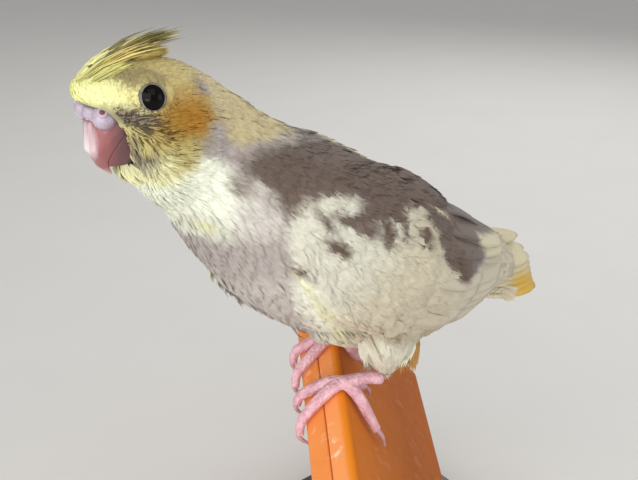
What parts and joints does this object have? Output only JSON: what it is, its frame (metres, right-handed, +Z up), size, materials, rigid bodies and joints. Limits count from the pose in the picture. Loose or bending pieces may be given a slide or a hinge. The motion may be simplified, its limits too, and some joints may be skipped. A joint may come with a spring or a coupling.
{
  "type": "perched cockatiel",
  "caption": "Still, life-size young cockatiel of pied colouring, crest laid back, gripping the edge of a leaning two-layer board on a plain display stand.",
  "frame": {"origin": "middle of the bounding box at the level the stand rests on", "axes": "+Z up, the bird faces -X and its left side is toward -Y"},
  "size_m": [0.157, 0.1088, 0.195],
  "materials": {
    "bill_horn": "pink horn, satin, paler toward the ridge and the tip",
    "claw_horn": "pale brown horn, satin",
    "cere_skin": "bare lilac-pink skin, matte",
    "eye_gloss": "wet gloss, nearly black",
    "foot_skin": "pink scaled skin, matte",
    "head_feathers": "small yellow feathers, orange over the ear",
    "body_feathers": "soft grey and cream feathers",
    "wing_feathers": "firm vanes, cream, white and brown grey",
    "tail_feathers": "firm vanes, cream above and yellow below",
    "crest_feathers": "narrow feathers, yellow with olive streaks",
    "perch_back": "painted orange, satin, scuffed",
    "perch_front": "painted orange, satin, scuffed",
    "stand_board": "dark satin lacquer",
    "stand_rod": "brushed"
  },
  "bodies": {
    "root": {"bill_upper": "bill_horn", "bill_lower": "bill_horn", "cere": "cere_skin", "eye_left": "eye_gloss", "eye_right": "eye_gloss", "head": "head_feathers", "neck": "head_feathers", "foot_left": "foot_skin", "foot_right": "foot_skin", "claw_left_outer": "claw_horn", "claw_left_inner": "claw_horn", "claw_left_thumb": "claw_horn", "claw_left_rear": "claw_horn", "claw_right_outer": "claw_horn", "claw_right_inner": "claw_horn", "claw_right_thumb": "claw_horn", "claw_right_rear": "claw_horn", "thigh_left": "body_feathers", "thigh_right": "body_feathers", "torso": "body_feathers", "wing_left": "wing_feathers", "wing_right": "wing_feathers", "tail": "tail_feathers", "crest": "crest_feathers", "perch_back_layer": "perch_back", "perch_front_layer": "perch_front", "stand_base": "stand_board", "stand_rod_far": "stand_rod", "stand_rod_near": "stand_rod"}
  },
  "joints": []
}
